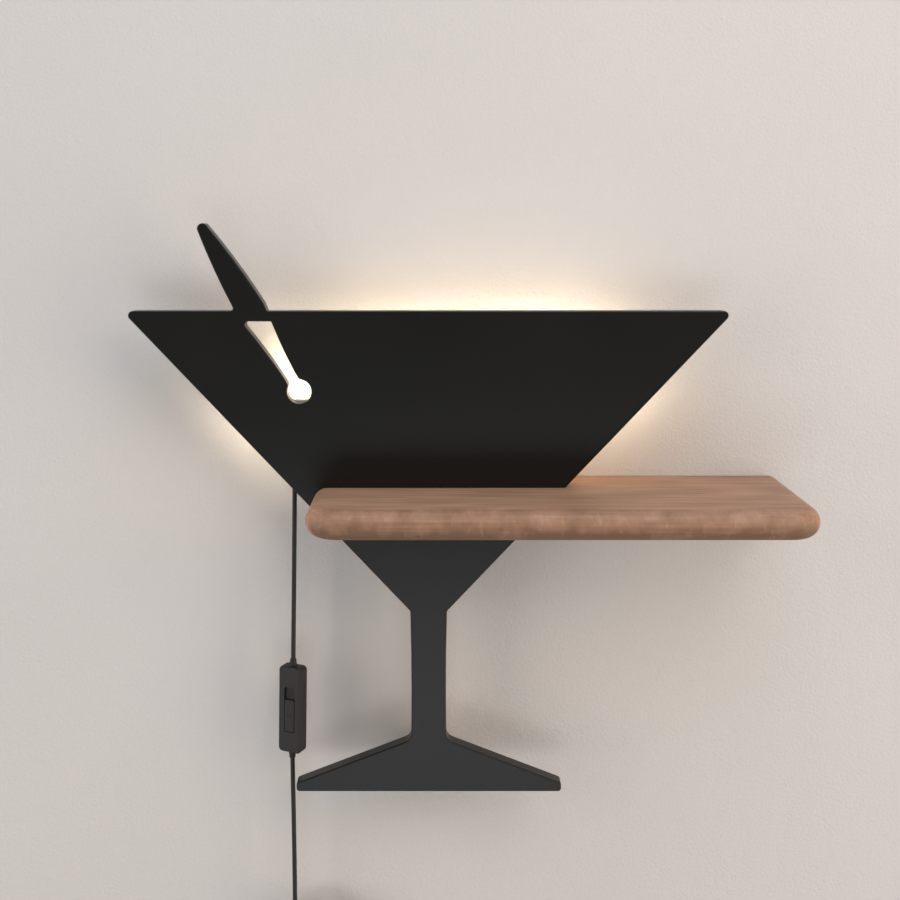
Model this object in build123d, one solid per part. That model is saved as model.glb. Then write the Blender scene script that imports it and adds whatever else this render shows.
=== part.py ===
# Wall lamp: a black glass-shaped panel with a cocktail pick, a wooden shelf halved into it,
# light tape behind the bowl, and a thin cord with a slide switch.
# Millimetres. X to the right, Z up, the wall is the plane Y = 0 and the front faces -Y.
# The origin lies on the wall, midway between the two keyhole hangers.
from build123d import *
import os
from math import cos, pi, radians, sin, tan

# Panel
panel_thickness = 12.0
panel_gap = 35.0
rim_above_shelf = 135.7
rim_half_width = 231.6
rim_tip_radius = 3.5
bowl_depth = 232.9
stem_top_half = 14.2
stem_waist_half = 13.4
stem_foot_half = 13.7
bowl_stem_radius = 3.0
foot_half_width = 104.0
foot_drop = 378.3
foot_tip_height = 6.8
foot_tip_radius = 2.4
foot_rise = 35.4
stem_foot_radius = 8.0
panel_edge_radius = 1.0

# Cocktail pick, measured along its axis from the rim line, down positive
pick_at_rim = -133.8
pick_lean = 30.0
pick_blade_length = 75.6
pick_tip_half = 4.1
pick_tip_flare = 9.5
pick_rim_half = 11.2
pick_shank_half = 6.95
pick_neck_half = 4.5
pick_neck = 56.6
olive_radius = 9.2
olive_centre = 70.9
olive_neck_radius = 3.5
rim_band = 7.9
cutout_left_radius = 2.5
cutout_right_radius = 1.0
blade_root_radius = 2.0

# Shelf
shelf_length = 370.0
shelf_left = -88.2
shelf_depth = 130.0
shelf_thickness = 22.0
shelf_corner_radius = 24.0
shelf_edge_radius = 10.6
halving_at = 5.0
halving_gap = 0.1

# Back rail and hangers
rail_length = 160.0
rail_height = 32.0
rail_edge = 1.0
hanger_spacing = 110.0
hanger_width = 40.0
hanger_height = 22.0
hanger_thickness = 1.5
hanger_rise = 1.5
hanger_corner_radius = 3.0
keyhole_entry_radius = 4.5
keyhole_slot_half = 2.3
keyhole_slot_rise = 6.5
keyhole_pocket_depth = 8.0
keyhole_pocket_room = 1.5
hanger_screw_spacing = 30.0
fit_gap = 0.1

# Wood screws
wood_screw_radius = 1.75
wood_screw_head_radius = 3.5
rail_screw_length = 42.0
rail_screw_spacing_x = 24.0
rail_screw_spacing_z = 16.0
shelf_screw_length = 34.0
shelf_screw_spacing = 100.0
small_screw_radius = 1.25
small_screw_head_radius = 2.5
small_screw_length = 12.0
case_screw_radius = 0.65
case_screw_head_radius = 1.25
head_sink = 0.2

# Spacer behind the foot
spacer_radius = 10.0
spacer_above_foot = 25.0
wall_pad_thickness = 2.0
spacer_screw_length = 41.0

# Light tape on the back of the bowl, an open bracket of three lengths
tape_width = 8.0
tape_thickness = 0.5
light_band_width = 3.2
light_band_height = 0.9
tape_below_rim = 41.7
tape_apart = 30.9
tape_right = 150.0
tape_top_left = -78.0
tape_bottom_left = -138.0
corner_clip_side = 14.0
corner_clip_height = 3.0
corner_clip_radius = 2.0

# Junction box under the lower tape
junction_x = -104.0
junction_width = 24.0
junction_height = 18.0
junction_depth = 13.0
junction_wall = 1.5
junction_lid_thickness = 2.5
junction_below_rim = 103.7
junction_radius = 2.0
junction_post = 2.6
feed_wire_radius = 0.6
feed_wire_spacing = 4.4
feed_wire_reach = 3.0
feed_wire_on_tape = 1.8

# Cord, its route and its clip
cord_radius = 1.8
cord_from_panel = 6.0
cord_in_box = 4.0
clip_below_box = 2.3
clip_length = 8.0
clip_wall = 2.0
clip_tab = 10.0
clip_tab_thickness = 2.5
cord_x = -104.4
cord_low_x = -108.4
cord_bend_low = -300.0
cord_bend_share = 0.45

# Inline slide switch
switch_length = 70.0
switch_width = 20.0
switch_thickness = 11.0
switch_wall = 1.5
switch_corner_radius = 3.5
switch_edge_radius = 1.6
switch_x = -108.2
switch_z = -197.6
switch_yaw = -23.5
switch_tilt = 1.2
slider_length = 26.0
slider_width = 8.4
slider_proud = 0.3
slider_travel = 9.5
slider_side_gap = 0.45
slider_flange = 0.8
slider_flange_thickness = 1.2
slider_tick = 0.3
slider_tick_width = 1.2
slider_corner_radius = 1.0
slider_edge_radius = 0.4
running_gap = 0.15
bridge_length = 20.0
bridge_width = 6.0
contact_thickness = 0.5
contact_length = 9.0
contact_spacing = 14.0
boss_radius = 1.9
boss_in_wall = 0.6
boss_spacing = 54.0
switch_screw_length = 8.0
collar_length = 5.5
collar_base_radius = 3.0
collar_end_radius = 2.4

# Put-away cord: coil, tie, tail and plug
coil_drop = -397.0
coil_layers = 4
coil_turns = 2.5
coil_climb = 0.5
coil_sides = 6
coil_pitch = 4.15
coil_outer_radius = 25.3
tie_width = 8.0
tie_thickness = 1.2
tie_room = 0.9
tie_corner_radius = 2.0
tail_length = 26.0
plug_relief_length = 14.0
plug_relief_radius = 3.2
plug_body_length = 22.0
plug_body_width = 15.6
plug_body_thickness = 8.0
plug_body_radius = 2.5
plug_end_radius = 1.5
plug_shell_length = 18.6
plug_shell_width = 12.0
plug_shell_thickness = 4.5
plug_shell_wall = 0.4
plug_shell_radius = 0.6
plug_window = 2.2
plug_window_spacing = 5.2
plug_window_from_mouth = 6.5
plug_tongue_thickness = 1.85
plug_tongue_back = 1.2
plug_contact_width = 1.1
plug_contact_spacing = 2.2
plug_contact_length = 9.0
plug_contact_thickness = 0.25

# Places that follow from the sizes
shelf_top = -rail_height / 2
shelf_bottom = shelf_top - shelf_thickness
rim_z = shelf_top + rim_above_shelf
panel_back = -panel_gap
panel_front = panel_back - panel_thickness
foot_z = rim_z - foot_drop
cord_y = panel_back + cord_from_panel
junction_top = rim_z - junction_below_rim
junction_bottom = junction_top - junction_height
clip_z = junction_bottom - clip_below_box - clip_length / 2
tape_top_z = rim_z - tape_below_rim
tape_bottom_z = tape_top_z - tape_apart
junction_screw_length = junction_depth - junction_wall
switch_half = switch_length / 2
boss_x = switch_width / 2 - switch_wall - boss_radius + boss_in_wall
slot_length = slider_length + slider_travel + 2 * slider_side_gap
slider_rest = -slider_travel / 2
flange_front = -switch_thickness / 2 + switch_wall + running_gap
bridge_front = flange_front + slider_flange_thickness
contact_front = bridge_front + contact_thickness + running_gap
layer_turns = coil_turns + coil_climb
coil_x = cord_low_x + coil_outer_radius
tail_bottom = coil_drop - tail_length
plug_mouth = -plug_body_length - plug_shell_length
tongue_y = plug_shell_thickness / 2 - plug_shell_wall - fit_gap

front = Plane.XZ


def at_depth(y):
    """A drawing plane that faces the viewer, at depth y."""
    return front.offset(-y)


def slab(face, y_back, thickness):
    """A face drawn in X and Z, made a board that reaches forward from y_back."""
    return extrude(at_depth(y_back) * face, thickness)


def block(x, y, z):
    """A box between pairs of limits."""
    size = [limits[1] - limits[0] for limits in (x, y, z)]
    centre = [(limits[1] + limits[0]) / 2 for limits in (x, y, z)]
    return Pos(*centre) * Box(*size)


def screw(radius, head_radius, length, room):
    """A countersunk screw along -Z with its head's top at the origin; room makes its hole."""
    profile = Polyline(
        (0, 0),
        (head_radius + room, 0),
        (radius + room, radius - head_radius),
        (radius + room, -length - room),
        (0, -length - room),
        close=True,
    )
    return revolve(Plane.XZ * make_face(profile), Axis.Z)


def wood_screw(length, room=0.0):
    return screw(wood_screw_radius, wood_screw_head_radius, length, room)


def small_screw(length, room=0.0):
    return screw(small_screw_radius, small_screw_head_radius, length, room)


def case_screw(length, room=0.0):
    return screw(case_screw_radius, case_screw_head_radius, length, room)


# Places of the screws: heads towards the wall, except under the shelf
rail_screw_places = [
    Pos(x, -head_sink, z) * Rot(-90, 0, 0)
    for x in (-rail_screw_spacing_x / 2, rail_screw_spacing_x / 2)
    for z in (-rail_screw_spacing_z / 2, rail_screw_spacing_z / 2)
]
shelf_screw_places = [
    Pos(x, -panel_gap / 2, shelf_bottom + head_sink) * Rot(180, 0, 0)
    for x in (-shelf_screw_spacing / 2, shelf_screw_spacing / 2)
]
hanger_screw_places = [
    Pos(side * hanger_spacing / 2 + x, 0, hanger_rise) * Rot(-90, 0, 0)
    for side in (-1, 1)
    for x in (-hanger_screw_spacing / 2, hanger_screw_spacing / 2)
]
spacer_place = Pos(0, 0, foot_z + spacer_above_foot)
spacer_screw_place = spacer_place * Pos(0, -wall_pad_thickness - head_sink, 0) * Rot(-90, 0, 0)
clip_screw_x = cord_x + cord_radius + clip_wall + clip_tab / 2
clip_screw_place = Pos(clip_screw_x, panel_back + clip_tab_thickness, clip_z) * Rot(-90, 0, 0)


def screw_group(places, make, length, room=0.0):
    return Compound([place * make(length, room) for place in places])


def without_holes(piece, places, make, length):
    for place in places:
        piece = piece - place * make(length, fit_gap)
    return piece


def pick_face():
    """The whole cocktail pick: leaf-shaped blade, thin shank and round olive."""
    tip = -pick_blade_length
    shoulder = tip + pick_tip_half
    flare = Vector(cos(radians(pick_tip_flare)), sin(radians(pick_tip_flare)))
    side = Vector(shoulder - pick_tip_half * flare.Y, pick_tip_half * flare.X)
    half = [
        CenterArc((shoulder, 0), pick_tip_half, 90 + pick_tip_flare, 90 - pick_tip_flare),
        TangentArc(side, (0, pick_rim_half), tangent=flare),
        ThreePointArc((0, pick_rim_half), (pick_neck / 2, pick_shank_half), (pick_neck, pick_neck_half)),
        Line((pick_neck, pick_neck_half), (olive_centre, pick_neck_half)),
    ]
    half = Curve() + half
    end = Line((olive_centre, pick_neck_half), (olive_centre, -pick_neck_half))
    blade = make_face(half + end + mirror(half, about=Plane.XZ))
    pick = blade + Pos(olive_centre, 0) * Circle(olive_radius)
    waist = olive_centre - (olive_radius**2 - pick_neck_half**2) ** 0.5
    neck = [v for v in pick.vertices() if abs(v.X - waist) < 0.01]
    pick = fillet(neck, olive_neck_radius)
    return Pos(pick_at_rim, 0) * Rot(0, 0, pick_lean - 90) * pick


def glass_face():
    """Bowl, stem and foot, with the rim on the line Z = 0 of the drawing."""
    stem_bottom = -foot_drop + foot_tip_height + foot_rise
    half = [
        Line((0, 0), (rim_half_width, 0)),
        Line((rim_half_width, 0), (stem_top_half, -bowl_depth)),
        ThreePointArc(
            (stem_top_half, -bowl_depth),
            (stem_waist_half, (stem_bottom - bowl_depth) / 2),
            (stem_foot_half, stem_bottom),
        ),
        Line((stem_foot_half, stem_bottom), (foot_half_width, -foot_drop + foot_tip_height)),
        Line((foot_half_width, -foot_drop + foot_tip_height), (foot_half_width, -foot_drop)),
        Line((foot_half_width, -foot_drop), (0, -foot_drop)),
    ]
    half = Curve() + half
    face = make_face(half + mirror(half, about=Plane.YZ))
    rounds = {
        (rim_half_width, 0): rim_tip_radius,
        (stem_top_half, -bowl_depth): bowl_stem_radius,
        (stem_foot_half, stem_bottom): stem_foot_radius,
        (foot_half_width, -foot_drop + foot_tip_height): foot_tip_radius,
        (foot_half_width, -foot_drop): foot_tip_radius,
    }
    for (x, y), radius in rounds.items():
        corners = [v for v in face.vertices() if abs(abs(v.X) - x) < 0.01 and abs(v.Y - y) < 0.01]
        face = fillet(corners, radius)
    return face


def glass_panel():
    """The black panel: the glass with the blade above its rim and the shank cut out below it."""
    reach = 2 * (foot_drop + pick_blade_length)
    below = Pos(0, -rim_band - reach / 2) * Rectangle(reach, reach)
    pick = pick_face()
    cutout = pick & below
    left = cutout.vertices().sort_by(Axis.Y)[-2:].sort_by(Axis.X)[0]
    cutout = fillet(left, cutout_left_radius)
    right = cutout.vertices().sort_by(Axis.Y)[-2:].sort_by(Axis.X)[-1]
    cutout = fillet(right, cutout_right_radius)
    face = glass_face() + (pick - below)
    on_rim = [v for v in face.vertices() if abs(v.Y) < 0.01]
    blade_roots = [v for v in on_rim if abs(v.X - pick_at_rim) < 2 * pick_rim_half]
    face = fillet(blade_roots, blade_root_radius) - cutout
    panel = slab(Pos(0, rim_z) * face, panel_back, panel_thickness)
    front_edges = panel.faces().sort_by(Axis.Y)[0].edges()
    panel = fillet(front_edges, panel_edge_radius)
    slot = block(
        (halving_at - halving_gap, rim_half_width),
        (panel_front - halving_gap, panel_back + halving_gap),
        (shelf_bottom - halving_gap, shelf_top + halving_gap),
    )
    panel = panel - slot
    panel = without_holes(panel, rail_screw_places, wood_screw, rail_screw_length)
    panel = without_holes(panel, [spacer_screw_place], wood_screw, spacer_screw_length)
    return without_holes(panel, [clip_screw_place], small_screw, small_screw_length)


def shelf_board():
    """A rounded board, flat at the wall, with a slot from its left end for the panel."""
    right = shelf_left + shelf_length
    board = block((shelf_left, right), (-shelf_depth, 0), (shelf_bottom, shelf_top))
    corners = board.edges().filter_by(Axis.Z).sort_by(Axis.Y)[:2]
    board = fillet(corners, shelf_corner_radius)
    rims = [
        edge
        for side in (0, -1)
        for edge in board.faces().sort_by(Axis.Z)[side].edges()
        if edge.center().Y < -0.01
    ]
    board = fillet(rims, shelf_edge_radius)
    slot = block(
        (shelf_left - halving_gap, halving_at + halving_gap),
        (panel_front - halving_gap, panel_back + halving_gap),
        (shelf_bottom - halving_gap, shelf_top + halving_gap),
    )
    return without_holes(board - slot, shelf_screw_places, wood_screw, shelf_screw_length)


def keyhole(radius, slot_half, thickness):
    """A keyhole's cutter from the wall plane inwards: round entry with a slot rising from it."""
    entry = Circle(radius)
    slot = Pos(0, keyhole_slot_rise / 2) * Rectangle(2 * slot_half, keyhole_slot_rise)
    top = Pos(0, keyhole_slot_rise) * Circle(slot_half)
    return slab(entry + slot + top, 0, thickness)


def hanger_plate(side):
    """A steel plate let flush into the rail, with a keyhole for a wall screw."""
    face = Pos(0, hanger_rise) * RectangleRounded(hanger_width, hanger_height, hanger_corner_radius)
    plate = slab(face, 0, hanger_thickness)
    plate = plate - keyhole(keyhole_entry_radius, keyhole_slot_half, hanger_thickness)
    plate = Pos(side * hanger_spacing / 2, 0, 0) * plate
    return without_holes(plate, hanger_screw_places, small_screw, small_screw_length)


def back_rail():
    """The wooden rail between panel and wall, standing on the shelf, with let-in hangers."""
    rail = block((-rail_length / 2, rail_length / 2), (panel_back, 0), (shelf_top, -shelf_top))
    rail = chamfer(rail.edges().filter_by(Axis.Y), rail_edge)
    recess_face = Pos(0, hanger_rise) * RectangleRounded(
        hanger_width + 2 * fit_gap, hanger_height + 2 * fit_gap, hanger_corner_radius + fit_gap
    )
    recess = slab(recess_face, 0, hanger_thickness)
    pocket_radius = keyhole_entry_radius + keyhole_pocket_room
    pocket = keyhole(pocket_radius, pocket_radius, hanger_thickness + keyhole_pocket_depth)
    for side in (-1, 1):
        rail = rail - Pos(side * hanger_spacing / 2, 0, 0) * (recess + pocket)
    rail = without_holes(rail, rail_screw_places, wood_screw, rail_screw_length)
    rail = without_holes(rail, shelf_screw_places, wood_screw, shelf_screw_length)
    return without_holes(rail, hanger_screw_places, small_screw, small_screw_length)


def foot_spacer():
    """A turned dowel that keeps the foot off the wall."""
    dowel = slab(Circle(spacer_radius), -wall_pad_thickness, panel_gap - wall_pad_thickness)
    return without_holes(spacer_place * dowel, [spacer_screw_place], wood_screw, spacer_screw_length)


def wall_pad():
    """A felt disc on the spacer's wall end."""
    return spacer_place * slab(Circle(spacer_radius), 0, wall_pad_thickness)


def tape_runs():
    """The three lengths of tape as pairs of ends, between the corner clips."""
    corner = corner_clip_side / 2
    return {
        "top": ((tape_top_left, tape_top_z), (tape_right - corner, tape_top_z)),
        "side": ((tape_right, tape_bottom_z + corner), (tape_right, tape_top_z - corner)),
        "bottom": ((tape_bottom_left, tape_bottom_z), (tape_right - corner, tape_bottom_z)),
    }


def tape_strip(ends, width, y_back, height):
    """A flat strip between two ends, which stands out from y_back towards the wall."""
    (x0, z0), (x1, z1) = ends
    size = (abs(x1 - x0) or width, abs(z1 - z0) or width)
    face = Pos((x0 + x1) / 2, (z0 + z1) / 2) * Rectangle(*size)
    return slab(face, y_back + height, height)


def corner_clip(z):
    """A moulded corner that joins two lengths of tape."""
    face = Pos(tape_right, z) * RectangleRounded(corner_clip_side, corner_clip_side, corner_clip_radius)
    return slab(face, panel_back + corner_clip_height, corner_clip_height)


def junction_places():
    inset = junction_wall + junction_post / 2 + case_screw_radius
    return [
        Pos(junction_x + side * (junction_width / 2 - inset), panel_back + junction_depth, z)
        * Rot(-90, 0, 0)
        for side, z in ((-1, junction_top - inset), (1, junction_bottom + inset))
    ]


def feed_wire(side, room=0.0):
    """A short core that runs up out of the box over the edge of the lower tape."""
    x = junction_x + side * feed_wire_spacing / 2
    y = panel_back + tape_thickness + fit_gap + feed_wire_radius
    inside = junction_wall + feed_wire_reach
    outside = tape_bottom_z - tape_width / 2 + feed_wire_on_tape - junction_top
    wire = Cylinder(feed_wire_radius + room, inside + outside)
    return Pos(x, y, junction_top + (outside - inside) / 2) * wire


def junction_base():
    """A moulded tray on the back of the panel where the cord ends."""
    outer = Pos(junction_x, (junction_top + junction_bottom) / 2) * RectangleRounded(
        junction_width, junction_height, junction_radius
    )
    depth = junction_depth - junction_lid_thickness
    tray = slab(outer, panel_back + depth, depth)
    mouth = tray.faces().sort_by(Axis.Y)[-1]
    inside = offset(tray, -junction_wall, openings=mouth, kind=Kind.INTERSECTION)
    posts = [
        place * Pos(0, 0, -(junction_depth - junction_wall / 2 + junction_lid_thickness) / 2)
        * Cylinder(junction_post, junction_depth - junction_wall / 2 - junction_lid_thickness)
        for place in junction_places()
    ]
    for post in posts:
        inside = inside + (post & tray)
    entry = Pos(cord_x, cord_y, junction_bottom) * Cylinder(cord_radius + fit_gap, 4 * junction_wall)
    inside = inside - entry - feed_wire(-1, fit_gap) - feed_wire(1, fit_gap)
    return without_holes(inside, junction_places(), case_screw, junction_screw_length)


def junction_lid():
    """The flat lid of the box, on the wall side."""
    outer = Pos(junction_x, (junction_top + junction_bottom) / 2) * RectangleRounded(
        junction_width, junction_height, junction_radius
    )
    lid = slab(outer, panel_back + junction_depth, junction_lid_thickness)
    return without_holes(lid, junction_places(), case_screw, junction_screw_length)


def cord_clip():
    """A moulded saddle that holds the cord to the back of the panel, with a screw tab."""
    loop = cord_radius + clip_wall
    saddle = Pos(cord_x, cord_y) * Circle(loop) + Pos(cord_x, (cord_y + panel_back) / 2) * Rectangle(
        2 * loop, cord_from_panel
    )
    tab_x = cord_x + loop + (clip_tab - clip_wall) / 2
    tab_y = panel_back + clip_tab_thickness / 2
    tab = Pos(tab_x, tab_y) * Rectangle(clip_tab + clip_wall, clip_tab_thickness)
    face = saddle + tab - Pos(cord_x, cord_y) * Circle(cord_radius + fit_gap)
    clip = extrude(Pos(0, 0, clip_z - clip_length / 2) * face, clip_length)
    return without_holes(clip, [clip_screw_place], small_screw, small_screw_length)


def cord_tube(points, radii):
    """A round cord along straight runs joined by arcs."""
    path = FilletPolyline(*points, radius=radii) if radii else Line(*points)
    section = Plane(origin=path @ 0, z_dir=path % 0) * Circle(cord_radius)
    return sweep(section, path)


def hanging_cord(name, points):
    """A hanging stretch of cord, with wide slight bends at its inner points."""
    places = [Vector(*p) for p in points]
    radii = []
    for before, here, after in zip(places, places[1:], places[2:]):
        turn = (here - before).get_angle(after - here)
        shorter = min((here - before).length, (after - here).length)
        radii.append(cord_bend_share * shorter / tan(radians(turn / 2)))
    print(name, "bend radii:", [round(r, 1) for r in radii])
    return cord_tube(points, radii)


def on_switch_axis(along):
    """A point on the switch's long axis, up positive from its middle."""
    tilt = radians(switch_tilt)
    return (switch_x + along * sin(tilt), cord_y, switch_z + along * cos(tilt))


def cord_upper():
    """The cord from the junction box, through the clip, into the top of the switch."""
    points = [
        (cord_x, cord_y, junction_bottom + junction_wall + cord_in_box),
        (cord_x, cord_y, clip_z - clip_length),
        on_switch_axis(switch_half + collar_length),
        on_switch_axis(switch_half - 2 * switch_wall),
    ]
    return hanging_cord("cord_upper", points)


def cord_lower():
    """The cord from the switch down to the coil, straight as it hangs."""
    points = [
        on_switch_axis(2 * switch_wall - switch_half),
        on_switch_axis(-switch_half - collar_length),
        (cord_low_x, cord_y, cord_bend_low),
        (cord_low_x, cord_y, coil_drop + 2 * cord_radius),
    ]
    return hanging_cord("cord_lower", points)


def in_switch(piece):
    """From the switch's own frame, front towards -Y, to its place on the cord."""
    return Pos(switch_x, cord_y, switch_z) * Rot(0, switch_tilt, 0) * Rot(0, 0, switch_yaw) * piece


def switch_body():
    body = Box(switch_width, switch_thickness, switch_length)
    body = fillet(body.edges().filter_by(Axis.Y), switch_corner_radius)
    rims = [e for side in (0, -1) for e in body.faces().sort_by(Axis.Y)[side].edges()]
    return fillet(rims, switch_edge_radius)


def switch_cavity():
    sizes = [size - 2 * switch_wall for size in (switch_width, switch_thickness, switch_length)]
    return Box(*sizes)


def switch_half_shell(front_side):
    """One half of the hollow switch body, parted on the plane of the cord."""
    y = (-switch_thickness, 0) if front_side else (0, switch_thickness)
    half = block((-switch_width, switch_width), y, (-switch_length, switch_length))
    shell = (switch_body() - switch_cavity()) & half
    for z in (-boss_spacing / 2, boss_spacing / 2):
        boss = Pos(boss_x, 0, z) * Rot(90, 0, 0) * Cylinder(boss_radius, switch_thickness - switch_wall)
        shell = shell + (boss & half)
    for z in (-switch_half, switch_half):
        shell = shell - Pos(0, 0, z) * Cylinder(cord_radius + fit_gap, 4 * switch_wall)
    for place in switch_screw_places():
        shell = shell - place * case_screw(switch_screw_length, fit_gap)
    return shell


def switch_screw_places():
    return [
        Pos(boss_x, switch_thickness / 2 - head_sink, z) * Rot(-90, 0, 0)
        for z in (-boss_spacing / 2, boss_spacing / 2)
    ]


def switch_front_shell():
    """The front half, with the slot that the slider runs in."""
    slot_width = slider_width + 2 * slider_side_gap
    slot_face = RectangleRounded(slot_width, slot_length, slider_corner_radius + slider_side_gap)
    slot = slab(slot_face, -switch_thickness / 2 + 2 * switch_wall, 4 * switch_wall)
    return in_switch(switch_half_shell(True) - slot)


def switch_rear_shell():
    """The rear half, with posts under the two contact blades."""
    shell = switch_half_shell(False)
    for z in (-contact_spacing / 2, contact_spacing / 2):
        post = block(
            (-bridge_width / 2, bridge_width / 2),
            (contact_front + contact_thickness, switch_thickness / 2 - switch_wall),
            (z - contact_length / 2, z + contact_length / 2),
        )
        shell = shell + post
    return in_switch(shell)


def switch_contacts():
    """Two brass blades that the bridge rubs on."""
    blades = [
        block(
            (-bridge_width / 2, bridge_width / 2),
            (contact_front, contact_front + contact_thickness),
            (z - contact_length / 2, z + contact_length / 2),
        )
        for z in (-contact_spacing / 2, contact_spacing / 2)
    ]
    return in_switch(Compound(blades))


def switch_slider():
    """The sliding button: a shutter that always closes the slot, the button in it and a tick ridge."""
    shutter_half = (slot_length + slider_travel) / 2 + slider_side_gap
    flange = block(
        (-slider_width / 2 - slider_flange, slider_width / 2 + slider_flange),
        (flange_front, flange_front + slider_flange_thickness),
        (-shutter_half, shutter_half),
    )
    button = slab(
        RectangleRounded(slider_width, slider_length, slider_corner_radius),
        flange_front,
        flange_front + switch_thickness / 2 + slider_proud,
    )
    button = fillet(button.faces().sort_by(Axis.Y)[0].edges(), slider_edge_radius)
    tick = block(
        (-slider_width / 4, slider_width / 4),
        (-switch_thickness / 2 - slider_proud - slider_tick, -switch_thickness / 2 - slider_proud),
        (-slider_tick_width / 2, slider_tick_width / 2),
    )
    return in_switch(Pos(0, 0, slider_rest) * (flange + button + tick))


def switch_bridge():
    """The brass bridge on the back of the slider."""
    plate = block(
        (-bridge_width / 2, bridge_width / 2),
        (bridge_front, bridge_front + contact_thickness),
        (-bridge_length / 2, bridge_length / 2),
    )
    return in_switch(Pos(0, 0, slider_rest) * plate)


def switch_collar(side):
    """A short tapered sleeve where the cord meets an end of the switch."""
    cone = Cone(collar_base_radius, collar_end_radius, collar_length) - Cylinder(
        cord_radius + fit_gap, 2 * collar_length
    )
    turned = cone if side > 0 else Rot(180, 0, 0) * cone
    return in_switch(Pos(0, 0, side * (switch_half + collar_length / 2)) * turned)


def coil_radius(turn):
    """A steady spiral that turns back in the middle of each climb, and runs on out at the end."""
    lead = coil_climb / 2
    pair = min(int((turn + lead) / (2 * layer_turns)), coil_layers // 2 - 1)
    along = turn + lead - 2 * layer_turns * pair
    inward = min(along, 2 * layer_turns - along) - lead
    return coil_outer_radius - inward * coil_pitch


def coil_point(turn):
    """The coil's centre line after so many turns, climbing a layer in the half turn of each reversal."""
    layer = min(int(turn / layer_turns), coil_layers - 1)
    climbing = max(0.0, turn - layer * layer_turns - coil_turns) / coil_climb
    rise = (1 - cos(pi * climbing)) / 2 if layer < coil_layers - 1 else 0.0
    angle = pi + 2 * pi * turn
    radius = coil_radius(turn)
    y = cord_y + (layer + rise) * coil_pitch
    return Vector(coil_x + radius * cos(angle), y, coil_drop + radius * sin(angle))


def coil_heading(turn):
    """Square to the coil's radius, the way the cord runs."""
    angle = pi + 2 * pi * turn
    return Vector(-sin(angle), 0, cos(angle))


def biarc(start, start_way, end, end_way):
    """Two arcs from one point and heading to another, joined without a kink."""
    chord = end - start
    sum_way = start_way + end_way
    square = 2 * (start_way.dot(end_way) - 1)
    linear = -2 * chord.dot(sum_way)
    constant = chord.dot(chord)
    root = (linear * linear - 4 * square * constant) ** 0.5
    reach = (-linear - root) / (2 * square)
    joint = (start + start_way * reach + end - end_way * reach) * 0.5
    way = (end - end_way * reach - start - start_way * reach).normalized()
    return [TangentArc(start, joint, tangent=start_way), TangentArc(joint, end, tangent=way)]


def coil_path():
    stops = [step / 4 for step in range(int(4 * coil_layers * layer_turns) + 1)]
    first = coil_point(stops[0])
    last = coil_point(stops[-1])
    straight = Vector(0, 0, 2 * cord_radius)
    edges = [Line(first + straight, first)]
    for here, there in zip(stops, stops[1:]):
        edges += biarc(coil_point(here), coil_heading(here), coil_point(there), coil_heading(there))
    edges.append(Line(last, last - straight))
    return Wire(edges)


coil_end = coil_point(coil_layers * layer_turns)


def least_coil_gap(path):
    """The least clear distance between turns, measured on points along the centre line."""
    count = int(path.length / (cord_radius / 2))
    points = [path @ (i / count) for i in range(count + 1)]
    apart = int(6 * cord_radius / (path.length / count)) + 1
    least = min(
        (points[i] - points[j]).length
        for i in range(0, count + 1, 3)
        for j in range(i + apart, count + 1)
    )
    return least - 2 * cord_radius


def cord_coil():
    """The put-away length, wound in four layers of turns."""
    path = coil_path()
    print("coil length:", round(path.length, 1), "least gap:", round(least_coil_gap(path), 2))
    section = Plane(origin=path @ 0, z_dir=path % 0) * RegularPolygon(cord_radius, coil_sides)
    return sweep(section, path)


def coil_tie():
    """A strap round the turns at the right of the coil."""
    inner = coil_outer_radius - coil_turns * coil_pitch - cord_radius - tie_room
    outer = coil_outer_radius + cord_radius + fit_gap + tie_room
    depth = (coil_layers - 1) * coil_pitch + 2 * cord_radius + 2 * tie_room
    centre = Pos(coil_x + (inner + outer) / 2, cord_y + (coil_layers - 1) * coil_pitch / 2)
    room = RectangleRounded(outer - inner, depth, tie_corner_radius)
    strap = RectangleRounded(
        outer - inner + 2 * tie_thickness, depth + 2 * tie_thickness, tie_corner_radius + tie_thickness
    )
    return extrude(Pos(0, 0, coil_drop - tie_width / 2) * (centre * (strap - room)), tie_width)


def cord_tail():
    """The short end of the cord between coil and plug."""
    top = coil_drop - 2 * cord_radius
    bottom = tail_bottom - plug_relief_length + 2 * cord_radius
    return cord_tube([(coil_end.X, coil_end.Y, top), (coil_end.X, coil_end.Y, bottom)], None)


def on_plug(piece):
    """From the plug's own frame, cord end at the origin and the mouth towards -Z."""
    return Pos(coil_end.X, coil_end.Y, tail_bottom - plug_relief_length) * piece


def plug_relief():
    """The tapered sleeve where the cord enters the plug."""
    upwards = (Align.CENTER, Align.CENTER, Align.MIN)
    cone = Cone(plug_relief_radius, collar_end_radius, plug_relief_length, align=upwards)
    cord = Cylinder(cord_radius + fit_gap, plug_relief_length, align=upwards)
    return on_plug(cone - Pos(0, 0, 2 * cord_radius - fit_gap) * cord)


def plug_body():
    """The moulded grip of the plug."""
    body = block(
        (-plug_body_width / 2, plug_body_width / 2),
        (-plug_body_thickness / 2, plug_body_thickness / 2),
        (-plug_body_length, 0),
    )
    body = fillet(body.edges().filter_by(Axis.Z), plug_body_radius)
    return on_plug(fillet(body.faces().sort_by(Axis.Z)[-1].edges(), plug_end_radius))


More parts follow.
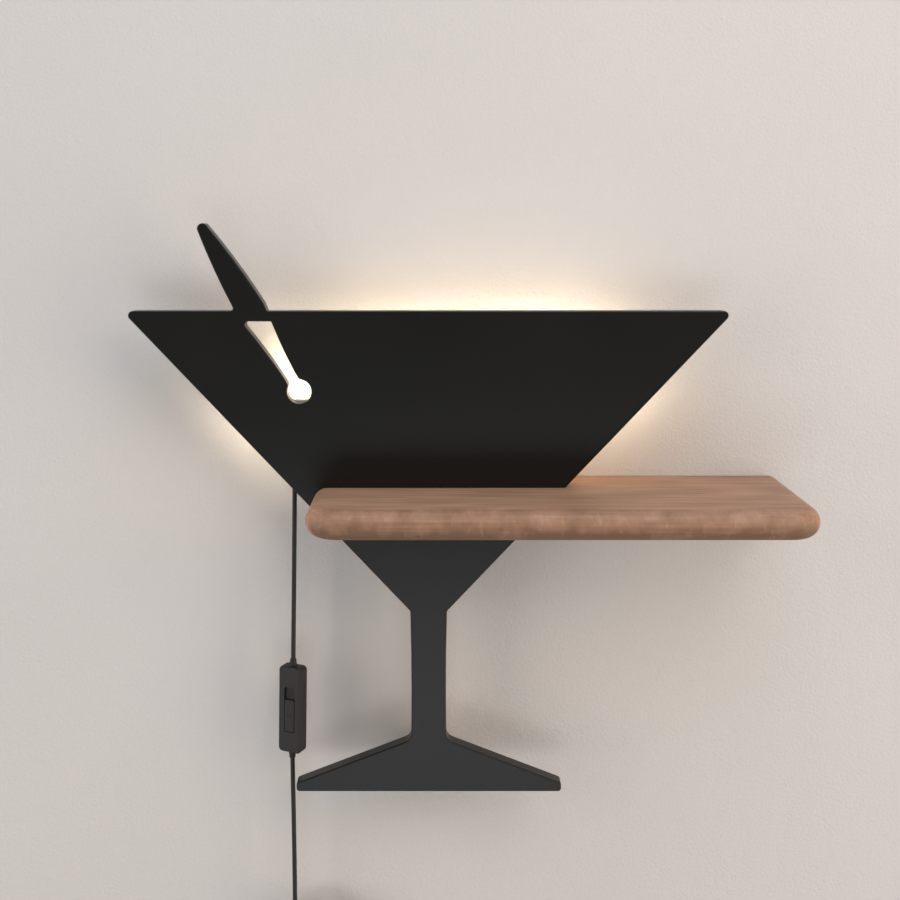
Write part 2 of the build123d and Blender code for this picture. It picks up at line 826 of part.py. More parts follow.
def plug_shell():
    """The pressed metal mouth of the plug, with four square windows."""
    outer = RectangleRounded(plug_shell_width, plug_shell_thickness, plug_shell_radius)
    inner = Rectangle(plug_shell_width - 2 * plug_shell_wall, plug_shell_thickness - 2 * plug_shell_wall)
    shell = extrude(Pos(0, 0, plug_mouth) * (outer - inner), plug_shell_length)
    window_z = plug_mouth + plug_window_from_mouth
    for side in (-1, 1):
        x = side * plug_window_spacing / 2
        window = Pos(x, 0, window_z) * Box(plug_window, 2 * plug_shell_thickness, plug_window)
        shell = shell - window
    return on_plug(shell)


def plug_tongue():
    """The insulating tongue that fills half of the mouth."""
    half = plug_shell_width / 2 - plug_shell_wall - fit_gap
    tongue = block(
        (-half, half),
        (tongue_y - plug_tongue_thickness, tongue_y),
        (plug_mouth + plug_tongue_back, -plug_body_length),
    )
    return on_plug(tongue)


def plug_contacts():
    """Four flat contacts on the tongue."""
    face = tongue_y - plug_tongue_thickness
    end = plug_mouth + 2 * plug_tongue_back
    strips = [
        block(
            (x - plug_contact_width / 2, x + plug_contact_width / 2),
            (face - plug_contact_thickness, face),
            (end, end + plug_contact_length),
        )
        for x in [(i - 1.5) * plug_contact_spacing for i in range(4)]
    ]
    return on_plug(Compound(strips))


pieces = {
    "glass_panel": glass_panel(),
    "shelf_board": shelf_board(),
    "back_rail": back_rail(),
    "rail_screws": screw_group(rail_screw_places, wood_screw, rail_screw_length),
    "shelf_screws": screw_group(shelf_screw_places, wood_screw, shelf_screw_length),
    "hanger_plate_left": hanger_plate(-1),
    "hanger_plate_right": hanger_plate(1),
    "hanger_screws": screw_group(hanger_screw_places, small_screw, small_screw_length),
    "foot_spacer": foot_spacer(),
    "foot_screw": spacer_screw_place * wood_screw(spacer_screw_length),
    "wall_pad": wall_pad(),
    "corner_clip_upper": corner_clip(tape_top_z),
    "corner_clip_lower": corner_clip(tape_bottom_z),
    "junction_base": junction_base(),
    "junction_lid": junction_lid(),
    "junction_screws": screw_group(junction_places(), case_screw, junction_screw_length),
    "feed_wire_left": feed_wire(-1),
    "feed_wire_right": feed_wire(1),
    "cord_clip": cord_clip(),
    "clip_screw": clip_screw_place * small_screw(small_screw_length),
    "cord_upper": cord_upper(),
    "switch_front_shell": switch_front_shell(),
    "switch_rear_shell": switch_rear_shell(),
    "switch_slider": switch_slider(),
    "switch_bridge": switch_bridge(),
    "switch_contacts": switch_contacts(),
    "switch_screws": in_switch(screw_group(switch_screw_places(), case_screw, switch_screw_length)),
    "switch_collar_top": switch_collar(1),
    "switch_collar_bottom": switch_collar(-1),
    "cord_lower": cord_lower(),
    "cord_coil": cord_coil(),
    "coil_tie": coil_tie(),
    "cord_tail": cord_tail(),
    "plug_relief": plug_relief(),
    "plug_body": plug_body(),
    "plug_shell": plug_shell(),
    "plug_tongue": plug_tongue(),
    "plug_contacts": plug_contacts(),
}
for name, ends in tape_runs().items():
    pieces["led_tape_" + name] = tape_strip(ends, tape_width, panel_back, tape_thickness)
    pieces["light_band_" + name] = tape_strip(
        ends, light_band_width, panel_back + tape_thickness, light_band_height
    )

os.makedirs("parts", exist_ok=True)
for name, piece in pieces.items():
    export_step(piece, "parts/" + name + ".step")
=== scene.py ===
import math

import bpy
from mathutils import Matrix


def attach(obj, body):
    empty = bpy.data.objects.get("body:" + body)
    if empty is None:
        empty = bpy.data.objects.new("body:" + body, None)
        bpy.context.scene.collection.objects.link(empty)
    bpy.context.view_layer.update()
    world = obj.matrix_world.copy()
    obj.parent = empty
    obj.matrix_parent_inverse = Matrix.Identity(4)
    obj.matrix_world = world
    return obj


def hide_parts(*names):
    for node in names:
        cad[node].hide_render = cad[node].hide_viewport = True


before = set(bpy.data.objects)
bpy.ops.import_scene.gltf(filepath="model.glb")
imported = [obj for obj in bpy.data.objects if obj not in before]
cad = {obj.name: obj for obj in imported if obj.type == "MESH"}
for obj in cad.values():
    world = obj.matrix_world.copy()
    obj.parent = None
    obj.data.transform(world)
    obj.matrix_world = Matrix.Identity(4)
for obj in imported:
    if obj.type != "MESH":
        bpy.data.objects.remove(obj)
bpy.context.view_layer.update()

# The viewpoint: one metre from the wall, a little above the rim and tipped down.
# The frame is moved down, so that the blade of the pick and the hanging cord both fit.
viewpoint_lens = bpy.data.cameras.new("viewpoint")
viewpoint_lens.sensor_width = 36.0
viewpoint_lens.lens = 50.6
viewpoint_lens.shift_x = 0.0111
viewpoint_lens.shift_y = -0.1056
viewpoint = bpy.data.objects.new("viewpoint", viewpoint_lens)
viewpoint.location = (0.0088, -1.0, 0.1866)
viewpoint.rotation_euler = (math.radians(84.0), 0.0, 0.0)
bpy.context.collection.objects.link(viewpoint)
bpy.context.scene.camera = viewpoint
bpy.context.scene.view_settings.view_transform = "Standard"


# The wall: plaster laid on by hand and painted a warm off-white, with a fine uneven grain.
# It is the backdrop and not part of the lamp. From behind it lets the eye through, and it gives way
# to light within a few millimetres, so that the faces which lie on it aren't black from behind.
class Tone:
    """A value on a surface: sums and products of tones add the nodes that work them out."""

    def __init__(self, tree, socket=None):
        self.tree = tree
        self.socket = socket

    def node(self, kind, inputs=None, output=0, stops=None, **settings):
        """Adds a node with these inputs and gives back one of its outputs."""
        made = self.tree.nodes.new("ShaderNode" + kind)
        for name, value in settings.items():
            setattr(made, name, value)
        if stops:
            ramp = made.color_ramp.elements
            while len(ramp) < len(stops):
                ramp.new(0.5)
            for element, (place, colour) in zip(ramp, stops):
                element.position = place
                element.color = (*colour, 1.0)
        for key, value in (inputs or {}).items():
            if isinstance(value, Tone):
                self.tree.links.new(value.socket, made.inputs[key])
            else:
                made.inputs[key].default_value = value
        return Tone(self.tree, made.outputs[output])

    def maths(self, operation, first, second):
        """Adds a node that works out one sum, product or comparison."""
        return self.node("Math", {0: first, 1: second}, operation=operation)

    def __add__(self, other):
        return self.maths("ADD", self, other)

    def __radd__(self, other):
        return self.maths("ADD", other, self)

    def __sub__(self, other):
        return self.maths("SUBTRACT", self, other)

    def __rsub__(self, other):
        return self.maths("SUBTRACT", other, self)

    def __mul__(self, other):
        return self.maths("MULTIPLY", self, other)

    def __rmul__(self, other):
        return self.maths("MULTIPLY", other, self)

    def __pow__(self, other):
        return self.maths("POWER", self, other)


def new_finish(name, **fixed):
    """An empty material with its shader: fixed sockets are set, the rest is linked later."""
    finish = bpy.data.materials.new(name)
    finish.use_nodes = True
    tree = finish.node_tree
    shader = tree.nodes["Principled BSDF"]
    for socket, value in fixed.items():
        shader.inputs[socket.replace("_", " ")].default_value = value
    return finish, Tone(tree), shader


def noise(tone, place, scale, detail=2.0, roughness=0.5):
    """Soft random clouds, finer as the scale grows."""
    return tone.node(
        "TexNoise",
        {"Vector": place, "Scale": scale, "Detail": detail, "Roughness": roughness},
    )


def stretched(tone, place, scale):
    """The same place with each axis at its own scale, for patterns that run along a piece."""
    return tone.node("Mapping", {"Vector": place, "Scale": scale})


def ramp(tone, value, stops):
    """The colour that stands at a value between the given stops."""
    return tone.node("ValToRGB", {"Fac": value}, stops=stops)


def link(tone, shader, socket, value):
    """Drives one input of a shader by a tone."""
    tone.tree.links.new(value.socket, shader.inputs[socket])


def bump(tone, shader, height, distance, strength):
    """Raises the surface by a tone, up to the distance given."""
    ridged = tone.node("Bump", {"Height": height, "Distance": distance, "Strength": strength})
    link(tone, shader, "Normal", ridged)


wall_paint, tone, shader = new_finish("wall_paint", Roughness=0.85)
place = tone.node("TexCoord", output="Object")
wall_patch = noise(tone, place, 2.2, 3.0)
wall_tint = ramp(tone, wall_patch, [(0.3, (0.652, 0.624, 0.61)), (0.7, (0.682, 0.654, 0.64))])
link(tone, shader, "Base Color", wall_tint)
trowel = noise(tone, place, 60.0, 3.0, 0.5)
grain = noise(tone, place, 430.0, 2.0, 0.6)
bump(tone, shader, trowel * 0.45 + grain * 0.55, 0.0012, 0.75)
behind = tone.node("NewGeometry", output="Backfacing")
gives_way = 0.004
ray_length = tone.node("LightPath", output="Ray Length")
touching = tone.maths("LESS_THAN", ray_length, gives_way)
open_wall = tone.maths("MAXIMUM", behind, touching)
seen_through = tone.node("BsdfTransparent")
wall_shader = tone.node("MixShader", {0: open_wall, 1: Tone(tone.tree, shader.outputs[0]), 2: seen_through})
tone.tree.links.new(wall_shader.socket, tone.tree.nodes["Material Output"].inputs["Surface"])

bpy.ops.object.select_all(action="DESELECT")
wall_size = 9.0
wall_behind = 0.0005
upright = (math.radians(90.0), 0.0, 0.0)
bpy.ops.mesh.primitive_plane_add(size=wall_size, location=(0.0, wall_behind, 0.0), rotation=upright)
wall = bpy.context.object
wall.name = "wall"
bpy.ops.object.transform_apply(location=True, rotation=True, scale=True)
wall.data.materials.append(wall_paint)


# The room's light: tall soft windows far out to the right and to the left, a small warm one in front,
# up on the right, a cool one high up, and a pale floor, which shows as a sheen low in the black panel.
aim_height = -0.05


def soft_light(name, place, width, height, power, colour):
    """A rectangular lamp aimed at the wall, just below the shelf."""
    made = bpy.data.lights.new(name, "AREA")
    made.shape = "RECTANGLE"
    made.size = width
    made.size_y = height
    made.energy = power
    made.color = colour
    holder = bpy.data.objects.new(name, made)
    holder.location = place
    way = (-place[0], -place[1], aim_height - place[2])
    flat = math.hypot(way[0], way[1])
    holder.rotation_euler = (math.atan2(flat, -way[2]), 0.0, math.atan2(-way[0], way[1]))
    bpy.context.collection.objects.link(holder)


soft_light("window_right", (1.986, -0.926, -0.15), 1.0, 2.4, 28.0, (1.0, 0.85, 0.68))
soft_light("window_front", (1.03, -1.48, 1.21), 1.0, 1.0, 11.0, (1.0, 0.8, 0.7))
soft_light("window_left", (-1.89, -1.09, 0.1), 1.1, 2.2, 21.0, (1.0, 0.9, 0.83))
soft_light("window_high", (0.353, -0.971, 1.893), 2.0, 1.0, 17.5, (0.66, 0.85, 1.0))
soft_light("floor_sheen", (0.0, -2.45, -1.15), 1.8, 0.8, 8.0, (0.98, 0.98, 1.0))
room = bpy.data.worlds.new("room")
bpy.context.scene.world = room
room.use_nodes = True
tone = Tone(room.node_tree)
direction = tone.node("TexCoord", output="Generated")
height = tone.node("SeparateXYZ", {"Vector": direction}, output="Z")
below = tone.node("MapRange", {"Value": height, "From Min": -0.15, "From Max": -0.35})
sky_and_floor = ramp(tone, below, [(0.0, (0.16, 0.17, 0.17)), (1.0, (0.36, 0.4, 0.43))])
link(tone, room.node_tree.nodes["Background"], "Color", sky_and_floor)


# The glass panel: one board cut to the outline of a cocktail glass with a pick in it,
# edges eased by hand and sprayed satin black, so the wood's grain only just shows.
black_paint, tone, shader = new_finish("black_paint", IOR=1.5, Specular_IOR_Level=0.36)
place = tone.node("TexCoord", output="Object")
cloud = noise(tone, place, 9.0, 3.0)
paint_tint = ramp(tone, cloud, [(0.3, (0.0042, 0.0036, 0.0029)), (0.7, (0.0056, 0.0049, 0.004))])
link(tone, shader, "Base Color", paint_tint)
spray = noise(tone, place, 1400.0, 2.0)
telegraph = noise(tone, stretched(tone, place, (14.0, 60.0, 260.0)), 1.0, 3.0)
link(tone, shader, "Roughness", 0.26 + 0.08 * spray + 0.05 * cloud)
bump(tone, shader, spray * 0.5 + telegraph * 0.5, 0.00012, 0.5)


def dress(node, finish):
    """Gives the piece of that name its finish."""
    cad[node].data.materials.clear()
    cad[node].data.materials.append(finish)


dress("glass_panel", black_paint)


# The shelf: a thick board of a brown hardwood with a rounded nose, oiled, grain running along it.
# The growth rings lie at a slant, so the top shows long arches. The lower half of the nose is painted
# darker, as shade where it faces down, and the front left corner of the top is painted lighter, standing in
# for light there.
def mixed(tone, share, first, second):
    """The first colour giving way to the second by a share."""
    return tone.node("Mix", {0: share, 6: first, 7: (*second, 1.0)}, output=2, data_type="RGBA")


def timber(name, light, middle, dark, ring, pith, slant, sheen, nose, painted_light_share):
    """A sawn board: rings round a far pith, fibres along X, short grain in front of nose.

    Its front left corner, on the top, is painted lighter by the share given, standing in for light falling
    there.
    """
    finish, tone, shader = new_finish(name, IOR=1.46)
    place = tone.node("TexCoord", output="Object")
    sway = noise(tone, stretched(tone, place, (4.0, 16.0, 16.0)), 1.0, 2.0)
    parts = [tone.node("SeparateXYZ", {"Vector": place}, output=axis) for axis in range(3)]
    across = parts[1] - pith[0]
    depth = parts[2] - pith[1] + parts[0] * slant + sway * 0.05
    distance = (across * across + depth * depth) ** 0.5
    ripple = noise(tone, stretched(tone, place, (14.0, 150.0, 150.0)), 1.0, 3.0)
    turns = (distance + ripple * (ring * 0.5)) * (2.0 * math.pi / ring)
    rings = tone.node("Math", {0: turns}, operation="SINE")
    fibre = noise(tone, stretched(tone, place, (14.0, 420.0, 420.0)), 1.0, 3.0, 0.6)
    patch = noise(tone, stretched(tone, place, (6.0, 34.0, 34.0)), 1.0, 2.0)
    long_grain = rings * 0.07 + fibre * 1.5 + patch * 0.3 - 0.31
    block = noise(tone, stretched(tone, place, (70.0, 60.0, 55.0)), 1.0, 2.0, 0.6)
    fleck = noise(tone, stretched(tone, place, (330.0, 160.0, 120.0)), 1.0, 2.0)
    flecks = tone.node("MapRange", {"Value": fleck, "From Min": 0.6, "From Max": 0.72})
    # painted shade: the lower half of the nose is darker, where it faces down
    painted_nose_shade = tone.node("MapRange", {"Value": parts[2], "From Min": -0.022, "From Max": -0.033})
    short_grain = block * 1.1 + fibre * 0.7 + flecks * 0.2 - painted_nose_shade * 0.58 - 0.37
    front = tone.node("MapRange", {"Value": parts[1], "From Min": nose + 0.003, "From Max": nose - 0.002})
    shade = tone.node("Mix", {0: front, 2: long_grain, 3: short_grain})
    body = ramp(tone, shade, [(0.0, dark), (0.5, middle), (1.0, light)])
    # painted light: the top's front left corner is made lighter, as light falling there
    corner = tone.node("MapRange", {"Value": parts[0] + parts[1], "From Min": 0.09, "From Max": -0.065})
    painted_light_gain = 1.0 + corner * (1.0 - front) * painted_light_share
    body = tone.node("VectorMath", {0: body, "Scale": painted_light_gain}, operation="SCALE")
    pore = noise(tone, stretched(tone, place, (42.0, 1500.0, 1500.0)), 1.0, 1.0)
    pores = tone.node("MapRange", {"Value": pore, "From Min": 0.66, "From Max": 0.76})
    link(tone, shader, "Base Color", mixed(tone, pores * 0.2, body, dark))
    link(tone, shader, "Roughness", sheen + 0.12 * fibre + 0.15 * pores)
    bump(tone, shader, fibre * 0.5 - pores * 0.5 + rings * 0.1, 0.0001, 0.6)
    return finish


shelf_wood = timber(
    "shelf_wood",
    light=(0.51, 0.3, 0.2),
    middle=(0.352, 0.194, 0.12),
    dark=(0.2, 0.104, 0.06),
    ring=0.013,
    pith=(-0.03, -0.16),
    slant=0.12,
    sheen=0.5,
    nose=-0.1195,
    painted_light_share=0.24,
)
dress("shelf_board", shelf_wood)

# The back rail: a planed pale softwood batten between the panel and the wall, left bare.
# It stands on the shelf and carries the hangers; a dowel of the same wood keeps the foot off the wall.
rail_wood = timber(
    "rail_wood",
    light=(0.66, 0.48, 0.29),
    middle=(0.56, 0.38, 0.21),
    dark=(0.4, 0.24, 0.11),
    ring=0.005,
    pith=(-0.06, -0.05),
    slant=0.02,
    sheen=0.6,
    nose=-0.05,
    painted_light_share=0.0,
)
dress("back_rail", rail_wood)
dress("foot_spacer", rail_wood)

# The hangers: pressed steel keyhole plates, zinc plated, let into the rail flush with its back.
# Two small screws hold each of them. The screw in the foot's dowel has the same plating.
zinc_steel, tone, shader = new_finish("zinc_steel", Metallic=1.0)
place = tone.node("TexCoord", output="Object")
spangle = tone.node("TexVoronoi", {"Vector": place, "Scale": 420.0}, output="Color")
mottle = noise(tone, place, 160.0, 3.0)
link(tone, shader, "Base Color", ramp(tone, mottle, [(0.3, (0.5, 0.5, 0.49)), (0.7, (0.68, 0.68, 0.67))]))
link(tone, shader, "Roughness", 0.28 + 0.22 * mottle)
bump(tone, shader, spangle * 0.4 + mottle * 0.6, 0.00006, 0.4)
for node in ("hanger_plate_left", "hanger_plate_right", "foot_screw"):
    dress(node, zinc_steel)


# The wood screws: countersunk, zinc plated, with a cross recess, driven flush from the back and from below.
# One screw is modelled for each group and copied to its places.
def cross_screw(name, nodes, radius, head_radius, length, places, turn):
    """Screws with heads at the given places; turn is the rotation from a head that faces up."""
    bpy.ops.object.select_all(action="DESELECT")
    middle = (0.0, 0.0, -0.5 * length)
    bpy.ops.mesh.primitive_cylinder_add(vertices=32, radius=radius, depth=length, location=middle)
    screw = bpy.context.object
    bpy.ops.object.transform_apply(location=True, rotation=True, scale=True)
    head = head_radius - radius
    lip = 0.08 * head
    grow = head_radius / radius
    bpy.ops.object.mode_set(mode="EDIT")
    bpy.ops.mesh.select_all(action="DESELECT")
    bpy.ops.object.mode_set(mode="OBJECT")
    for face in screw.data.polygons:
        face.select = face.normal.z > 0.9
    bpy.ops.object.mode_set(mode="EDIT")
    bpy.ops.transform.translate(value=(0.0, 0.0, -head))
    bpy.ops.mesh.extrude_region_move(TRANSFORM_OT_translate={"value": (0.0, 0.0, head - lip)})
    bpy.ops.transform.resize(value=(grow, grow, 1.0))
    bpy.ops.mesh.extrude_region_move(TRANSFORM_OT_translate={"value": (0.0, 0.0, lip)})
    bpy.ops.transform.resize(value=(0.96, 0.96, 1.0))
    bpy.ops.object.mode_set(mode="OBJECT")
    arm = (1.15 * head_radius, 0.26 * head_radius, 0.9 * head_radius)
    for angle in (20.0, 110.0):
        bpy.ops.object.select_all(action="DESELECT")
        bpy.ops.mesh.primitive_cube_add(size=1.0, rotation=(0.0, 0.0, math.radians(angle)))
        cutter = bpy.context.object
        cutter.scale = arm
        bpy.ops.object.transform_apply(location=True, rotation=True, scale=True)
        bpy.ops.object.select_all(action="DESELECT")
        bpy.context.view_layer.objects.active = screw
        screw.select_set(True)
        recess = screw.modifiers.new("recess", "BOOLEAN")
        recess.operation = "DIFFERENCE"
        recess.object = cutter
        bpy.ops.object.modifier_apply(modifier=recess.name)
        bpy.data.objects.remove(cutter)
    copies = []
    for place in places:
        copy = screw.copy()
        copy.data = screw.data.copy()
        copy.rotation_euler = turn
        copy.location = place
        bpy.context.collection.objects.link(copy)
        copies.append(copy)
    bpy.data.objects.remove(screw)
    bpy.ops.object.select_all(action="DESELECT")
    for copy in copies:
        copy.select_set(True)
    group = copies[0]
    bpy.context.view_layer.objects.active = group
    bpy.ops.object.transform_apply(location=True, rotation=True, scale=True)
    if len(copies) > 1:
        bpy.ops.object.join()
    group.name = name
    group.data.materials.clear()
    group.data.materials.append(zinc_steel)
    bpy.ops.object.shade_smooth_by_angle(angle=math.radians(35.0))
    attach(group, "lamp")
    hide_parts(*nodes)


wood_screw = (0.00175, 0.0035)
small_screw = (0.00125, 0.0025)
facing_wall = (math.radians(-90.0), 0.0, 0.0)
facing_down = (math.radians(180.0), 0.0, 0.0)
rail_places = [(x, -0.0002, z) for x in (-0.012, 0.012) for z in (-0.008, 0.008)]
cross_screw("rail_wood_screws", ["rail_screws"], *wood_screw, 0.042, rail_places, facing_wall)
shelf_places = [(x, -0.0175, -0.0378) for x in (-0.05, 0.05)]
cross_screw("shelf_wood_screws", ["shelf_screws"], *wood_screw, 0.034, shelf_places, facing_down)
hanger_places = [(side + x, 0.0, 0.0015) for side in (-0.055, 0.055) for x in (-0.015, 0.015)]
cross_screw("hanger_plate_screws", ["hanger_screws"], *small_screw, 0.012, hanger_places, facing_wall)

# The wall pad: a disc of grey wool felt glued to the end of the dowel behind the foot.
# It rests on the wall, so the foot leaves no mark.
wool_felt, tone, shader = new_finish("wool_felt", Sheen_Weight=0.4)
place = tone.node("TexCoord", output="Object")
hairs = noise(tone, place, 1900.0, 4.0, 0.7)
tufts = noise(tone, place, 380.0, 3.0)
felt_tint = ramp(tone, hairs, [(0.25, (0.06, 0.058, 0.055)), (0.75, (0.17, 0.165, 0.16))])
link(tone, shader, "Base Color", felt_tint)
link(tone, shader, "Roughness", 0.86 + 0.12 * tufts)
bump(tone, shader, hairs * 0.6 + tufts * 0.4, 0.0005, 0.8)
dress("wall_pad", wool_felt)


# The light tape: a white printed strip with copper pads at its cut lines, stuck behind the bowl.
# Along its middle runs a band of yellow phosphor over many small chips, which lights the wall.
tape_left = -0.138
tape_right = 0.15
tape_low = 0.047
cut_spacing = 0.03
chip_spacing = 0.0025


def tape_finish(name, axis, start):
    """White strip with a pair of pads and a black line at each cut, counted from the start."""
    finish, tone, shader = new_finish(name, Roughness=0.45)
    place = tone.node("TexCoord", output="Object")
    along = tone.node("SeparateXYZ", {"Vector": place}, output=axis) - start
    cut = tone.node("Math", {0: along, 1: cut_spacing}, operation="FLOORED_MODULO")
    off_cut = tone.node("Math", {0: cut - cut_spacing / 2.0}, operation="ABSOLUTE")
    pad = tone.node("MapRange", {"Value": off_cut, "From Min": 0.0022, "From Max": 0.0019})
    line = tone.node("MapRange", {"Value": off_cut, "From Min": 0.0004, "From Max": 0.0002})
    speck = noise(tone, place, 700.0, 2.0)
    white = ramp(tone, speck, [(0.3, (0.78, 0.77, 0.73)), (0.7, (0.86, 0.85, 0.82))])
    padded = mixed(tone, pad, white, (0.72, 0.38, 0.2))
    link(tone, shader, "Base Color", mixed(tone, line, padded, (0.05, 0.05, 0.05)))
    link(tone, shader, "Metallic", pad * 0.8)
    bump(tone, shader, pad, 0.00005, 0.5)
    return finish


def band_finish(name, axis, power, low_end, high_end):
    """A band lit on its outer face, fading between the brightness of its two ends."""
    finish, tone, shader = new_finish(name, Roughness=0.4, Emission_Strength=power)
    place = tone.node("TexCoord", output="Object")
    along = tone.node("SeparateXYZ", {"Vector": place}, output=axis)
    chip = tone.node("Math", {0: along * (2.0 * math.pi / chip_spacing)}, operation="SINE") * 0.5 + 0.5
    phosphor = ramp(tone, chip, [(0.0, (0.93, 0.765, 0.54)), (1.0, (1.0, 0.835, 0.6))])
    span = {"From Min": tape_left, "From Max": tape_right, "To Min": low_end, "To Max": high_end}
    fade = tone.node("MapRange", {"Value": along, **span})
    normal = tone.node("NewGeometry", output="Normal")
    facing = tone.node("SeparateXYZ", {"Vector": normal}, output="Y")
    outer_face = tone.node("MapRange", {"Value": facing, "From Min": 0.5, "From Max": 0.9})
    glow = tone.node("VectorMath", {0: phosphor, "Scale": fade * outer_face}, operation="SCALE")
    link(tone, shader, "Emission Color", glow)
    link(tone, shader, "Base Color", ramp(tone, chip, [(0.0, (0.8, 0.55, 0.12)), (1.0, (0.85, 0.62, 0.18))]))
    return finish


tape_along_x = tape_finish("tape_along_x", 0, tape_left)
tape_along_z = tape_finish("tape_along_z", 2, tape_low)
for run, tape, axis, power, low_end, high_end in (
    ("top", tape_along_x, 0, 145.0, 0.18, 1.0),
    ("side", tape_along_z, 2, 110.0, 1.0, 1.0),
    ("bottom", tape_along_x, 0, 182.0, 1.0, 0.13),
):
    dress("led_tape_" + run, tape)
    dress("light_band_" + run, band_finish("light_band_" + run, axis, power, low_end, high_end))


# The plastics: the corner clips, the junction box, the cord clip, the switch and the plug are black
# mouldings with a fine spark-eroded grain. Small screws hold the clip and the lid of the box.
def moulding(name, colour, roughness, outward=None, level=0.0):
    """A moulded plastic; what lies below a level, measured along outward, is darker: painted shade in a
    recess.
    """
    finish, tone, shader = new_finish(name, IOR=1.48)
    place = tone.node("TexCoord", output="Object")
    grit = noise(tone, place, 2600.0, 2.0)
    flow = noise(tone, place, 60.0, 3.0)
    darker = tuple(0.82 * part for part in colour)
    tint = ramp(tone, flow, [(0.3, darker), (0.7, colour)])
    if outward:
        # painted shade: faces sunk below the level are darkened, as shade in the slot
        along = tone.node("VectorMath", {0: place, 1: outward}, output="Value", operation="DOT_PRODUCT")
        proud = along - level
        painted_recess_shade = {"Value": proud, "From Min": -0.0012, "From Max": -0.0002, "To Min": 0.2}
        tint = tone.node("VectorMath", {0: tint, "Scale": tone.node("MapRange", painted_recess_shade)}, operation="SCALE")
    link(tone, shader, "Base Color", tint)
    link(tone, shader, "Roughness", roughness + 0.12 * grit + 0.05 * flow)
    bump(tone, shader, grit, 0.00008, 0.5)
    return finish


black_moulding = moulding("black_moulding", (0.017, 0.0165, 0.0158), 0.42)
case_black = (0.0118, 0.0112, 0.0105)
case_roughness = 0.46
grey_moulding = moulding("grey_moulding", case_black, case_roughness)
for node in ("corner_clip_upper", "corner_clip_lower", "junction_base", "junction_lid", "cord_clip"):
    dress(node, black_moulding)
lid_screw = (0.00065, 0.00125)
lid_places = [(-0.11255, -0.022, 0.01255), (-0.09545, -0.022, 0.00145)]
clip_places = [(-0.0956, -0.0325, -0.0083)]
cross_screw("cord_clip_screw", ["clip_screw"], *small_screw, 0.012, clip_places, facing_wall)
cross_screw("junction_lid_screws", ["junction_screws"], *lid_screw, 0.0115, lid_places, facing_wall)

# The feed wires: two thin cores in a pale soft sleeve. They run up out of the box and over the edge
# of the lower tape, where such wires are soldered to its pads.
core_sleeve = moulding("core_sleeve", (0.7, 0.66, 0.58), 0.4)
for node in ("feed_wire_left", "feed_wire_right"):
    dress(node, core_sleeve)

# The inline switch: two black shells screwed together from behind round the cord, with a slider
# that runs in a slot on the front and carries a brass bridge over two brass blades. The slider's
# shutter, which closes the slot, lies below the case's front face and is painted darker, as shade in the
# slot.
for node in ("switch_front_shell", "switch_rear_shell"):
    dress(node, grey_moulding)
switch_yaw = math.radians(23.5)
switch_front = (-math.sin(switch_yaw), -math.cos(switch_yaw), 0.0)
switch_face = 0.0752
slider_moulding = moulding("slider_moulding", case_black, case_roughness, switch_front, switch_face)
dress("switch_slider", slider_moulding)
brass, tone, shader = new_finish("brass", Metallic=1.0)
place = tone.node("TexCoord", output="Object")
tarnish = noise(tone, place, 320.0, 3.0)
link(tone, shader, "Base Color", ramp(tone, tarnish, [(0.3, (0.55, 0.38, 0.14)), (0.7, (0.8, 0.6, 0.26))]))
link(tone, shader, "Roughness", 0.22 + 0.2 * tarnish)
for node in ("switch_bridge", "switch_contacts", "plug_contacts"):
    dress(node, brass)
dress("switch_screws", zinc_steel)

# The cord: thin, round and black, in a soft matt jacket. It hangs from the box through its clip
# into the top of the switch.
cord_jacket, tone, shader = new_finish("cord_jacket", IOR=1.45)
place = tone.node("TexCoord", output="Object")
bloom = noise(tone, place, 140.0, 3.0)
skin = noise(tone, place, 3000.0, 2.0)
jacket_tint = ramp(tone, bloom, [(0.3, (0.0085, 0.0083, 0.008)), (0.7, (0.0125, 0.012, 0.0117))])
link(tone, shader, "Base Color", jacket_tint)
link(tone, shader, "Roughness", 0.44 + 0.14 * bloom)
bump(tone, shader, skin, 0.00005, 0.4)
cord_diameter = 0.0036


def round_cord(name, points, nodes):
    """A smooth line through the route's points, as thick as the cord, closed at its ends."""
    line = bpy.data.curves.new(name, "CURVE")
    line.dimensions = "3D"
    line.bevel_depth = cord_diameter / 2.0
    line.bevel_resolution = 5
    line.resolution_u = 8
    line.use_fill_caps = True
    spline = line.splines.new("NURBS")
    spline.points.add(len(points) - 1)
    for point, (x, y, z) in zip(spline.points, points):
        point.co = (x, y, z, 1.0)
    spline.order_u = 3
    spline.use_endpoint_u = True
    made = bpy.data.objects.new(name, line)
    bpy.context.collection.objects.link(made)
    line.materials.append(cord_jacket)
    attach(made, "lamp")
    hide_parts(*nodes)
    return made


cord_y = -0.029
hang_x = -0.1044
switch_middle = (-0.1082, -0.1976)
switch_tilt = math.radians(1.2)


def on_switch_axis(along):
    """A point on the switch's long axis, measured upwards from its middle."""
    x, z = switch_middle
    return (x + along * math.sin(switch_tilt), cord_y, z + along * math.cos(switch_tilt))


upper_points = [(hang_x, cord_y, 0.0035), (hang_x, cord_y, -0.0163)]
upper_points += [on_switch_axis(0.0405), on_switch_axis(0.032)]
hanging_cord = round_cord("hanging_cord", upper_points, ["cord_upper"])
for node in ("switch_collar_top", "switch_collar_bottom", "plug_relief"):
    dress(node, cord_jacket)

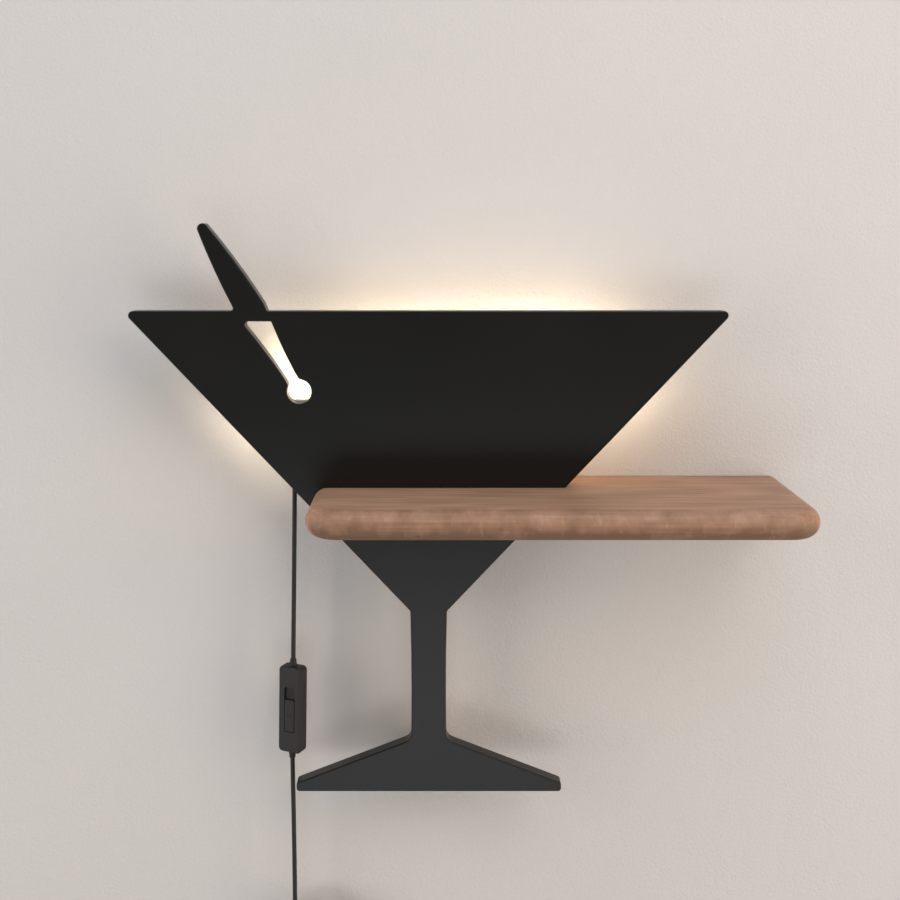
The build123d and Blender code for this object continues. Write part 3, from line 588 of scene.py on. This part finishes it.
# The rest of the cord: out of the bottom of the switch, straight down, then wound into a neat coil
# of four layers held by a strap, with a short tail to the plug.
low_x = -0.1084
coil_start = 0.0253
coil_middle = (low_x + coil_start, -0.397)
coil_pitch = 0.00415
points_per_turn = 16
turns_per_layer = 3
layers = 4
lead_turns = 0.25
climb_turns = 0.5
tail_left = 0.0274
lower_points = [on_switch_axis(-0.032), on_switch_axis(-0.0405)]
lower_points += [(low_x, cord_y, -0.3), (low_x, cord_y, -0.3934)]
for step in range(points_per_turn * turns_per_layer * layers + 1):
    turn = step / points_per_turn
    pair = min(int((turn + lead_turns) / (2 * turns_per_layer)), 1)
    along = turn + lead_turns - 2 * turns_per_layer * pair
    inward = min(along, 2 * turns_per_layer - along) - lead_turns
    radius = (coil_start - inward * coil_pitch) / math.cos(math.pi / points_per_turn)
    layer = min(int(turn / turns_per_layer), layers - 1)
    climb_from = (layer + 1) * turns_per_layer - climb_turns
    climb = max(0.0, turn - climb_from) / climb_turns
    rise = (1.0 - math.cos(math.pi * climb)) / 2.0 if layer < layers - 1 else 0.0
    angle = math.pi + 2.0 * math.pi * turn
    lower_points.append(
        (
            coil_middle[0] + radius * math.cos(angle),
            cord_y + (layer + rise) * coil_pitch,
            coil_middle[1] + radius * math.sin(angle),
        )
    )
tail_x = coil_middle[0] - tail_left
tail_y = cord_y + (layers - 1) * coil_pitch
lower_points += [(tail_x, tail_y, -0.404), (tail_x, tail_y, -0.418), (tail_x, tail_y, -0.4334)]
stored_cord = round_cord("stored_cord", lower_points, ["cord_lower", "cord_coil", "cord_tail"])

# The strap: a short black woven web with a soft face. It goes once round one side of the coil
# and holds the turns together.
strap_web, tone, shader = new_finish("strap_web", Sheen_Weight=0.3)
place = tone.node("TexCoord", output="Object")
weave = {"Vector": place, "Scale": 420.0, "Distortion": 0.6}
rib = tone.node("TexWave", weave, output="Fac", bands_direction="Z")
fluff = noise(tone, place, 1600.0, 3.0)
web_tint = ramp(tone, fluff, [(0.3, (0.012, 0.012, 0.0125)), (0.7, (0.03, 0.03, 0.031))])
link(tone, shader, "Base Color", web_tint)
link(tone, shader, "Roughness", 0.75 + 0.2 * fluff)
bump(tone, shader, rib * 0.6 + fluff * 0.4, 0.0002, 0.7)
dress("coil_tie", strap_web)

# The plug: a flat low-voltage plug, a black moulded grip with a pressed steel mouth,
# a white tongue and flat contacts inside.
dress("plug_body", black_moulding)
plug_steel, tone, shader = new_finish("plug_steel", Metallic=1.0)
place = tone.node("TexCoord", output="Object")
drawn = noise(tone, stretched(tone, place, (900.0, 900.0, 60.0)), 1.0, 2.0)
link(tone, shader, "Base Color", ramp(tone, drawn, [(0.3, (0.38, 0.38, 0.38)), (0.7, (0.5, 0.5, 0.5))]))
link(tone, shader, "Roughness", 0.28 + 0.16 * drawn)
dress("plug_shell", plug_steel)
dress("plug_tongue", core_sleeve)
